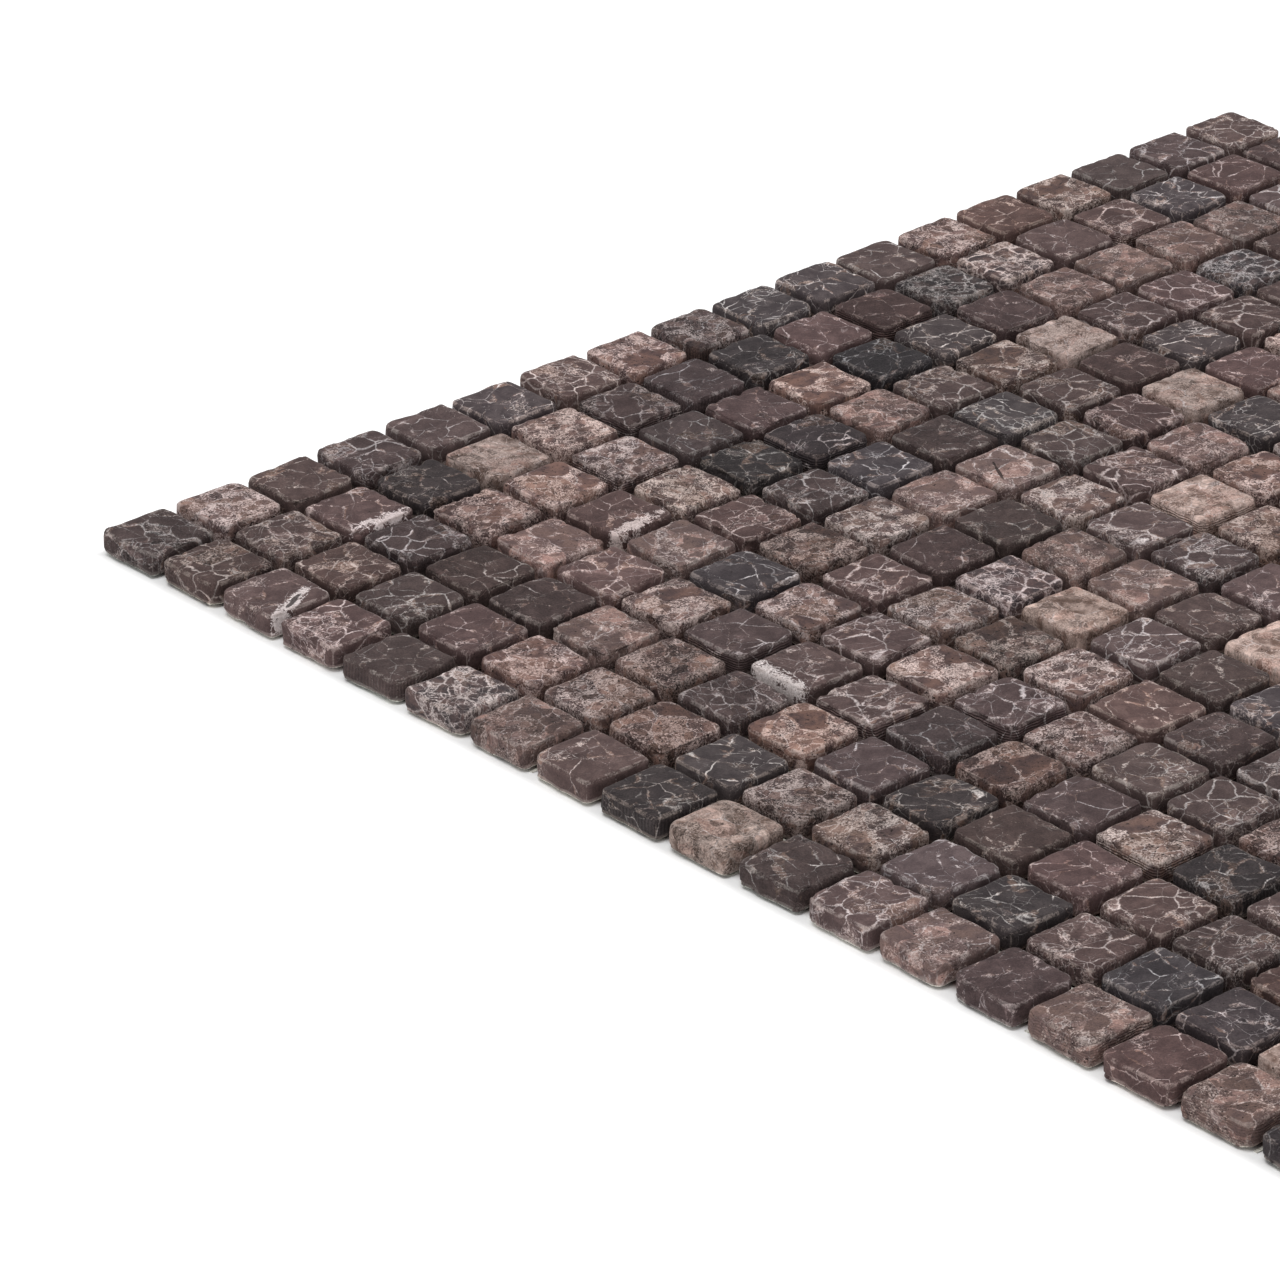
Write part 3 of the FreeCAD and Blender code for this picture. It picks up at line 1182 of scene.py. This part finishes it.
def glass_material(colours):
    """Glass fibre in a white binder, with fine furrows between its strands that are tinted darker as
    painted shade.
    """
    material = bpy.data.materials.new("Glass net")
    material.use_nodes = True
    tree = material.node_tree
    shader = tree.nodes["Principled BSDF"]
    place = add(tree, "ShaderNodeTexCoord").outputs["Object"]
    strands = add(tree, "ShaderNodeTexNoise", {"Vector": place, "Scale": STRAND_SCALE, "Detail": 2.0})
    binder = add(tree, "ShaderNodeTexNoise", {"Vector": place, "Scale": BINDER_SCALE, "Detail": 3.0})
    shaded_furrow = output(strands, 0).ramp(0.4, 0.7)
    # painted shade: the furrows are tinted darker than the yarn
    tint = between(tree, shaded_furrow, (*colours.yarn, 1), (*colours.shaded_furrow, 1))
    relief = output(binder, 0) * 0.1 - shaded_furrow * 0.04
    bump = add(tree, "ShaderNodeBump", {"Height": relief, "Distance": MM, "Strength": 0.8})
    feed(tree, shader.inputs["Base Color"], tint)
    feed(tree, shader.inputs["Roughness"], 0.45 + shaded_furrow * 0.2)
    feed(tree, shader.inputs["Normal"], bump.outputs["Normal"])
    return material


# The stage
LAMP_SIZE = 1.0
LAMP_PLACE = Vector((0.2, -0.62, 2.0))  # from the point that the camera aims at
SENSOR_WIDTH = 36  # millimetres
# Where the floor's painted shade under the sheet gives way to white, and where its extra white sets in,
# outwards from the sheet's edge
WHITE_FROM = (-5 * MM, -2 * MM)
LIFTED_FROM = (-1 * MM, 2 * MM)


def make_floor(settings):
    """A white floor with painted shade under the sheet: a dark colour there keeps the joints between the
    chips dark.
    """
    half = settings.floor_size / 2
    mesh = bpy.data.meshes.new("Floor")
    corners = [(-half, -half, 0), (half, -half, 0), (half, half, 0), (-half, half, 0)]
    mesh.from_pydata(corners, [], [(0, 1, 2, 3)])
    material = bpy.data.materials.new("Floor")
    material.use_nodes = True
    tree = material.node_tree
    shader = tree.nodes["Principled BSDF"]
    shader.inputs["Roughness"].default_value = 1.0
    shader.inputs["Specular IOR Level"].default_value = 0.0
    shader.inputs["Emission Color"].default_value = (1, 1, 1, 1)
    x, y, _ = parts_of(tree, add(tree, "ShaderNodeTexCoord").outputs["Object"])
    low, high = CAD_BOX
    beyond = (x - high.x).at_least(low.x - x).at_least(y - high.y).at_least(low.y - y)
    open_floor = beyond.ramp(*WHITE_FROM)
    lift = beyond.ramp(*LIFTED_FROM) * settings.floor_lift
    feed(tree, shader.inputs["Emission Strength"], seen_directly(tree) * lift)
    # painted shade: the floor under the sheet takes the dark colour, and only the open floor is white
    tint = between(tree, open_floor, (*settings.floor_painted_shade, 1), (*settings.floor_colour, 1))
    feed(tree, shader.inputs["Base Color"], tint)
    mesh.materials.append(material)
    floor = bpy.data.objects.new("Floor", mesh)
    bpy.context.collection.objects.link(floor)


def seen_directly(tree):
    """1 for what the camera sees, itself or in gloss or glass, and 0 for light."""
    path = add(tree, "ShaderNodeLightPath")
    direct = output(path, "Is Camera Ray").at_least(output(path, "Is Glossy Ray"))
    return direct.at_least(output(path, "Is Transmission Ray"))


def make_sky(settings):
    world = bpy.data.worlds.new("Sky")
    bpy.context.scene.world = world
    world.use_nodes = True
    tree = world.node_tree
    background = tree.nodes["Background"]
    background.inputs["Color"].default_value = (1, 1, 1, 1)
    strength = seen_directly(tree) * (1 - settings.sky) + settings.sky
    feed(tree, background.inputs["Strength"], strength)


def make_lamp(name, power, size, place, target):
    light = bpy.data.lights.new(name, "AREA")
    light.energy = power
    light.size = size
    lamp = bpy.data.objects.new(name, light)
    lamp.location = place
    lamp.rotation_euler = (target - place).to_track_quat("-Z", "Y").to_euler()
    bpy.context.collection.objects.link(lamp)


def make_camera(settings):
    level = math.cos(settings.elevation)
    back = Vector(
        (
            math.sin(settings.azimuth) * level,
            -math.cos(settings.azimuth) * level,
            math.sin(settings.elevation),
        )
    )
    data = bpy.data.cameras.new("Camera")
    data.lens = settings.focal_length
    data.sensor_width = SENSOR_WIDTH
    data.clip_start = 0.05
    data.clip_end = 50
    camera = bpy.data.objects.new("Camera", data)
    camera.location = Vector(settings.aim) + back * settings.distance
    level_view = (-back).to_track_quat("-Z", "Y").to_matrix()
    camera.rotation_euler = (level_view @ Matrix.Rotation(settings.roll, 3, "Z")).to_euler()
    bpy.context.collection.objects.link(camera)
    bpy.context.scene.camera = camera


# The operators
class MOSAIC_OT_chips(bpy.types.Operator):
    """Grow the tumbled chips of every row on the places that the frame gives them"""

    bl_idname = "mosaic.chips"
    bl_label = "Tumbled chips"

    def execute(self, context):
        settings = context.scene.mosaic_chips
        marbles = marble_materials(context.scene.mosaic_marble)
        tree = chip_tree()
        values = {
            "Lines along": settings.lines_along,
            "Lines up": settings.lines_up,
            "Corner round": settings.corner_round,
            "Face arris": settings.face_arris,
            "Back arris": settings.back_arris,
            "Arris spread": settings.arris_spread,
            "Waviness": settings.waviness,
            "Roughening": settings.roughening,
            "Bite depth": settings.bite_depth,
        }
        values.update({f"Marble {kind}": material for kind, material in marbles.items()})
        for row, node in enumerate(ROW_NODES):
            points = chip_points(node, row, settings)
            chips = grown(points, f"chips_{node[-2:]}", tree, values)
            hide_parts(node)
            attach(chips, "root")
        return {"FINISHED"}


class MOSAIC_OT_net(bpy.types.Operator):
    """Lay the two layers of glass yarns under the chips"""

    bl_idname = "mosaic.net"
    bl_label = "Glass net"

    def execute(self, context):
        settings = context.scene.mosaic_net
        tree = yarn_tree()
        fibre = glass_material(settings)
        for node in NET_NODES:
            lines, width, thickness = yarn_lines(node)
            values = {
                "Step": settings.step,
                "Width": width,
                "Thickness": thickness,
                "Sway": settings.sway,
                "Sides": settings.sides,
                "Fibre": fibre,
            }
            yarns = grown(lines, f"{node}_yarns", tree, values)
            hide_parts(node)
            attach(yarns, "root")
        return {"FINISHED"}


class MOSAIC_OT_stage(bpy.types.Operator):
    """Set up the white floor, the soft light and the camera"""

    bl_idname = "mosaic.stage"
    bl_label = "Stage"

    def execute(self, context):
        settings = context.scene.mosaic_stage
        make_floor(settings)
        make_sky(settings)
        aim = Vector(settings.aim)
        make_lamp("Key", settings.key, LAMP_SIZE, aim + LAMP_PLACE, aim)
        make_camera(settings)
        context.scene.view_settings.view_transform = "Standard"
        return {"FINISHED"}


class MOSAIC_PT_sheet(bpy.types.Panel):
    """The sheet's operators and settings in the sidebar"""

    bl_idname = "MOSAIC_PT_sheet"
    bl_label = "Mosaic sheet"
    bl_space_type = "VIEW_3D"
    bl_region_type = "UI"
    bl_category = "Mosaic"

    def draw(self, context):
        for operator, group in zip(OPERATORS, SETTINGS):
            box = self.layout.box()
            box.operator(operator.bl_idname)
            settings = getattr(context.scene, group)
            for name in settings.__annotations__:
                box.prop(settings, name)


SETTINGS = {
    "mosaic_chips": ChipSettings,
    "mosaic_net": NetSettings,
    "mosaic_stage": StageSettings,
    "mosaic_marble": MarbleSettings,
}
OPERATORS = (MOSAIC_OT_chips, MOSAIC_OT_net, MOSAIC_OT_stage)
CLASSES = (*SETTINGS.values(), *OPERATORS, MOSAIC_PT_sheet)


def register():
    for cls in CLASSES:
        bpy.utils.register_class(cls)
    for name, cls in SETTINGS.items():
        setattr(bpy.types.Scene, name, bpy.props.PointerProperty(type=cls))


def unregister():
    for name in SETTINGS:
        delattr(bpy.types.Scene, name)
    for cls in reversed(CLASSES):
        bpy.utils.unregister_class(cls)


def main():
    register()
    bpy.ops.mosaic.chips()
    bpy.ops.mosaic.net()
    bpy.ops.mosaic.stage()


if __name__ == "__main__":
    main()
